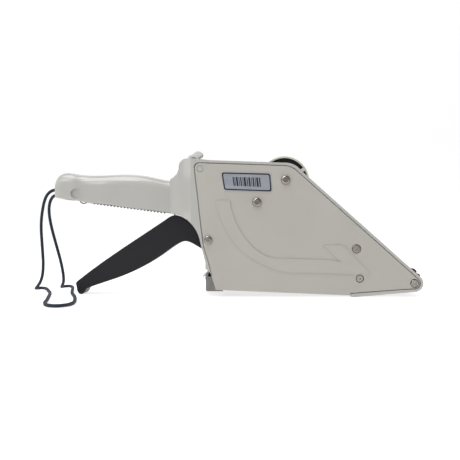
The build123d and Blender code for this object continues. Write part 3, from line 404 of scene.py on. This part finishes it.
def softened(node, body, radius, bore_clearance):
    """Show a copy of a CAD piece in its place, with the outline of both its sides rounded off.

    Edges within bore_clearance of the joint's axis, those of the bore, stay sharp.
    """
    source = bpy.data.objects[node].data
    side_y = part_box(node)[1][1]
    axis = next(joint for joint in frame["joints"] if joint["child"] == body)["pos_m"]
    mesh = bmesh.new()
    mesh.from_mesh(source)
    bmesh.ops.remove_doubles(mesh, verts=mesh.verts, dist=WELD_DISTANCE)
    bmesh.ops.dissolve_limit(mesh, angle_limit=FLAT_ANGLE, verts=mesh.verts, edges=mesh.edges)
    outline = []
    for edge in mesh.edges:
        middle = (edge.verts[0].co + edge.verts[1].co) / 2
        on_side = all(abs(abs(vert.co.y) - side_y) < SIDE_TOLERANCE for vert in edge.verts)
        from_axis = hypot(middle.x - axis[0], middle.z - axis[2])
        if on_side and len(edge.link_faces) == 2 and from_axis > bore_clearance:
            if edge.calc_face_angle(0.0) > SHARP_ANGLE:
                outline.append(edge)
    bmesh.ops.bevel(mesh, geom=outline, offset=radius, offset_type="OFFSET",
                    segments=BEVEL_SEGMENTS, profile=0.5, affect="EDGES", clamp_overlap=True)
    piece = finished_mesh(node + "_rounded", mesh, MATERIALS[slot_of[node]])
    for face in piece.data.polygons:
        face.use_smooth = abs(face.normal.y) < SIDE_NORMAL
    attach(piece, body)
    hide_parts(node)


softened("lever", "lever", 0.0016, 0.0055)
softened("stop_knob", "stop_knob", 0.0011, 0.0020)


# Name plate print: a border and a plain bar pattern -------------------------------------------
PLATE_CORNERS_MM = [(-11.8, 108.1), (30.8, 107.0), (32.1, 91.1), (-9.3, 92.5)]
PRINT_THICKNESS = 0.00006
# Border of the print: how far each edge is inside the plate's own, and its corner radius, in mm
BORDER_OUTER = (0.25, 2.2)
BORDER_INNER = (1.35, 1.5)
BARS_INSET_MM = 3.9
# Bars: start and width along the plate, as shares of its length
PLATE_BARS = [(0.150, 0.030), (0.195, 0.015), (0.230, 0.045), (0.300, 0.018), (0.338, 0.030),
              (0.392, 0.015), (0.425, 0.052), (0.502, 0.022), (0.548, 0.040), (0.612, 0.016),
              (0.650, 0.034), (0.708, 0.018), (0.744, 0.048), (0.815, 0.030)]


def moved_in(corners, inset):
    """Corners of a convex outline, listed clockwise, with every side moved in by inset."""
    lines = []
    for first, second in zip(corners, corners[1:] + corners[:1]):
        along = (second - first).normalized()
        inward = Vector((along.y, -along.x))
        lines.append((first + inward * inset, along))
    moved = []
    for (place, along), (other_place, other) in zip(lines[-1:] + lines[:-1], lines):
        cross = along.x * other.y - along.y * other.x
        gap = other_place - place
        reach = (gap.x * other.y - gap.y * other.x) / cross
        moved.append(place + along * reach)
    return moved


def rounded(corners, radius):
    """Outline through quadratic bends that start a radius away from each corner."""
    steps = 7
    outline = []
    for index, corner in enumerate(corners):
        start = corner + (corners[index - 1] - corner).normalized() * radius
        end = corner + (corners[(index + 1) % len(corners)] - corner).normalized() * radius
        for step in range(steps + 1):
            share = step / steps
            outline.append(start * (1 - share) ** 2 + corner * 2 * share * (1 - share)
                           + end * share ** 2)
    return outline


def printed_layer(name, loops, material):
    """Thin print on the name plate: strips between loop pairs, or filled single loops."""
    plate_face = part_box("name_plate")[0][1]
    mesh = bmesh.new()
    for pair in loops:
        levels = []
        for depth in (0.0, PRINT_THICKNESS):
            levels.append([[mesh.verts.new((point.x * MM, plate_face - depth, point.y * MM))
                            for point in loop] for loop in pair])
        count = len(pair[0])
        for index in range(count):
            after = (index + 1) % count
            if len(pair) == 2:
                for outer, inner in levels:
                    mesh.faces.new((outer[index], outer[after], inner[after], inner[index]))
            for side in range(len(pair)):
                mesh.faces.new((levels[0][side][index], levels[0][side][after],
                                levels[1][side][after], levels[1][side][index]))
        if len(pair) == 1:
            for (outline,) in levels:
                mesh.faces.new(outline)
    bmesh.ops.recalc_face_normals(mesh, faces=mesh.faces)
    return finished_mesh(name, mesh, material, smooth=False)


plate_corners = [Vector(corner) for corner in PLATE_CORNERS_MM]
border = [rounded(moved_in(plate_corners, inset), radius)
          for inset, radius in (BORDER_OUTER, BORDER_INNER)]
field = moved_in(plate_corners, BARS_INSET_MM)
bars = []
for start, width in PLATE_BARS:
    top_start, top_end = (field[0].lerp(field[1], share) for share in (start, start + width))
    low_start, low_end = (field[3].lerp(field[2], share) for share in (start, start + width))
    bars.append([[top_start, top_end, low_end, low_start]])
plate_border = printed_layer("name_plate_border", [border], MATERIALS["ink"])
plate_bars = printed_layer("name_plate_bars", bars, MATERIALS["ink"])
for piece in (plate_border, plate_bars):
    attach(piece, "body")


# Floor, backdrop and light --------------------------------------------------------------------
FLOOR_GREY = 0.45
FLOOR_GLOW = 0.74           # keeps the backdrop close to white and short of overexposed
FLOOR_ROUGHNESS = 0.7
FLOOR_DROP = 0.00005        # below z = 0, so that nothing touches it
FLOOR_HALF_WIDTH = 5.0
FLOOR_FRONT = -4.0
BEND_START = 1.6            # y where the floor starts to curve up into the backdrop
BEND_RADIUS = 1.2
BEND_STEPS = 12
BACKDROP_HEIGHT = 4.0
WORLD_STRENGTH = 0.25
# Name, place, size, power in watts and the point that each area light aims at
LIGHTS = [
    ("top_box", (-0.35, -0.25, 1.5), 0.9, 13.0, (0, 0, 0.05)),
    ("front_box", (-0.9, -1.6, 1.2), 0.7, 9.0, (0, 0, 0.06)),
    ("left_box", (-1.5, -0.5, 0.7), 0.8, 3.0, (0, 0, 0.06)),
    ("back_box", (0.3, 1.2, 1.3), 1.4, 5.0, (0, 0, 0.06)),
    ("spark_box", (-0.25, -0.75, 1.25), 0.16, 1.6, (0, 0, 0.06)),
]


def backdrop():
    """Pale, faintly glowing floor that curves up into a backdrop."""
    material, tree, shader, coordinates = new_material("floor", (FLOOR_GREY,) * 3, FLOOR_ROUGHNESS)
    shader.inputs["Emission Color"].default_value = (1.0, 1.0, 1.0, 1.0)
    shader.inputs["Emission Strength"].default_value = FLOOR_GLOW
    haze = noise(tree, scaled(tree, coordinates, (1, 1, 1)), FLOOR_HAZE, 2)
    tree.links.new(tinted(tree, spread(tree, haze, 0, 1), (0.44, 0.44, 0.44), (0.46, 0.46, 0.46)),
                   shader.inputs["Base Color"])
    profile = [(FLOOR_FRONT, 0.0), (BEND_START, 0.0)]
    for step in range(1, BEND_STEPS + 1):
        angle = pi / 2 * step / BEND_STEPS
        profile.append((BEND_START + BEND_RADIUS * sin(angle), BEND_RADIUS * (1 - cos(angle))))
    profile.append((BEND_START + BEND_RADIUS, BACKDROP_HEIGHT))
    mesh = bmesh.new()
    rows = [[mesh.verts.new((x, y, z - FLOOR_DROP)) for x in (-FLOOR_HALF_WIDTH, FLOOR_HALF_WIDTH)]
            for y, z in profile]
    for first, second in zip(rows, rows[1:]):
        mesh.faces.new((first[0], first[1], second[1], second[0]))
    finished_mesh("floor", mesh, material)


def soft_boxes():
    """Square area lights above, in front, to the left and behind."""
    for name, place, size, power, aim in LIGHTS:
        light_data = bpy.data.lights.new(name, "AREA")
        light_data.shape = "SQUARE"
        light_data.size = size
        light_data.energy = power
        light = bpy.data.objects.new(name, light_data)
        light.location = place
        light.rotation_euler = (Vector(aim) - Vector(place)).to_track_quat("-Z", "Y").to_euler()
        link(light)


def surroundings():
    """World that is white to the camera and gives everything else only a dim light."""
    world = bpy.data.worlds.new("studio")
    bpy.context.scene.world = world
    world.use_nodes = True
    tree = world.node_tree
    dim = tree.nodes["Background"]
    dim.inputs["Color"].default_value = (1.0, 1.0, 1.0, 1.0)
    dim.inputs["Strength"].default_value = WORLD_STRENGTH
    paper = tree.nodes.new("ShaderNodeBackground")
    paper.inputs["Color"].default_value = (1.0, 1.0, 1.0, 1.0)
    path = tree.nodes.new("ShaderNodeLightPath")
    mix = tree.nodes.new("ShaderNodeMixShader")
    tree.links.new(path.outputs["Is Camera Ray"], mix.inputs["Fac"])
    tree.links.new(dim.outputs["Background"], mix.inputs[1])
    tree.links.new(paper.outputs["Background"], mix.inputs[2])
    tree.links.new(mix.outputs["Shader"], tree.nodes["World Output"].inputs["Surface"])


backdrop()
soft_boxes()
surroundings()
